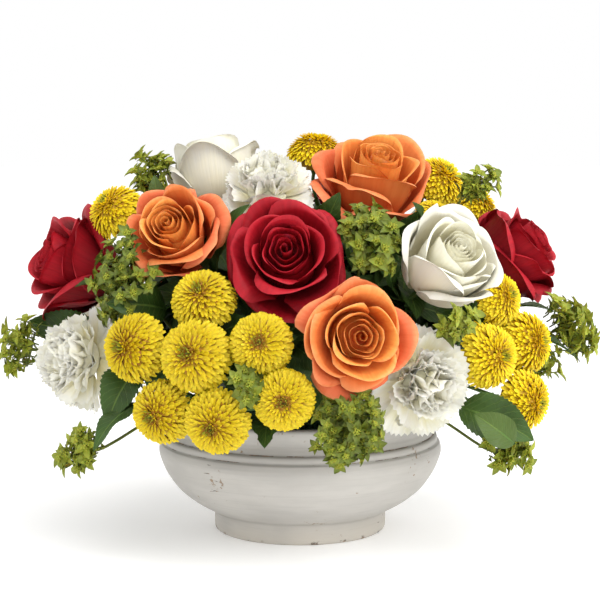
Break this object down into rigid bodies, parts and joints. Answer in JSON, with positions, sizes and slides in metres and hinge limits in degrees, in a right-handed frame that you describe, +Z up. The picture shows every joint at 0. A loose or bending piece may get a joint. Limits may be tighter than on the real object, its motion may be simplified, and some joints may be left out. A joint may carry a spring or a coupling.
{
  "type": "floral table centerpiece",
  "caption": "Low all-round flower arrangement of roses, carnations, button chrysanthemums and bupleurum, set in wet foam in a footed, whitewashed round bowl.",
  "frame": {"origin": "on the table, under the middle of the bowl's foot", "axes": "+Z up, +X to the right as seen from the front, and the front faces -Y; the arrangement is longest along X"},
  "size_m": [0.4338, 0.3492, 0.2985],
  "materials": {
    "bowl": "matte whitewash over brown, worn through in the grooves and along the foot",
    "foam": "wet, dark green, open-celled floral foam",
    "green": "satin leaves with paler veins, and smooth stems",
    "bupleurum": "soft yellow-green bracts and florets",
    "chrysanthemum": "satin yellow petals, golden in their hollows",
    "carnation": "white, fine-veined and frilled, creamy inside",
    "rose_red": "velvety crimson petals",
    "rose_orange": "soft petals, yellow-orange at the base and salmon at the rim",
    "rose_white": "soft ivory petals, creamy yellow in the middle"
  },
  "bodies": {
    "root": {"rose_red_centre": "rose_red", "rose_red_left": "rose_red", "rose_red_right": "rose_red", "rose_red_back": "rose_red", "rose_orange_left": "rose_orange", "rose_orange_front": "rose_orange", "rose_orange_top": "rose_orange", "rose_orange_back": "rose_orange", "rose_white_right": "rose_white", "rose_white_top": "rose_white", "rose_white_back": "rose_white", "carnation_top": "carnation", "carnation_left": "carnation", "carnation_front": "carnation", "carnation_back_left": "carnation", "carnation_back": "carnation", "pom_front_1": "chrysanthemum", "pom_front_2": "chrysanthemum", "pom_front_3": "chrysanthemum", "pom_front_4": "chrysanthemum", "pom_front_5": "chrysanthemum", "pom_front_6": "chrysanthemum", "pom_front_7": "chrysanthemum", "pom_left_1": "chrysanthemum", "pom_left_2": "chrysanthemum", "pom_top": "chrysanthemum", "pom_top_right_1": "chrysanthemum", "pom_top_right_2": "chrysanthemum", "pom_top_right_3": "chrysanthemum", "pom_right_1": "chrysanthemum", "pom_right_2": "chrysanthemum", "pom_right_3": "chrysanthemum", "pom_right_4": "chrysanthemum", "pom_back_1": "chrysanthemum", "pom_back_2": "chrysanthemum", "pom_back_3": "chrysanthemum", "pom_back_4": "chrysanthemum", "pom_back_5": "chrysanthemum", "pom_back_6": "chrysanthemum", "bupleurum_top_left": "bupleurum", "bupleurum_left": "bupleurum", "bupleurum_far_left": "bupleurum", "bupleurum_low_left": "bupleurum", "bupleurum_front_left": "bupleurum", "bupleurum_front": "bupleurum", "bupleurum_centre": "bupleurum", "bupleurum_top_right": "bupleurum", "bupleurum_right": "bupleurum", "bupleurum_low_right": "bupleurum", "bupleurum_right_front": "bupleurum", "bupleurum_back_left": "bupleurum", "bupleurum_back": "bupleurum", "bupleurum_back_right": "bupleurum", "greens_front": "green", "greens_right": "green", "greens_back_right": "green", "greens_back_left": "green", "greens_left": "green", "foam": "foam", "bowl": "bowl"}
  },
  "joints": []
}
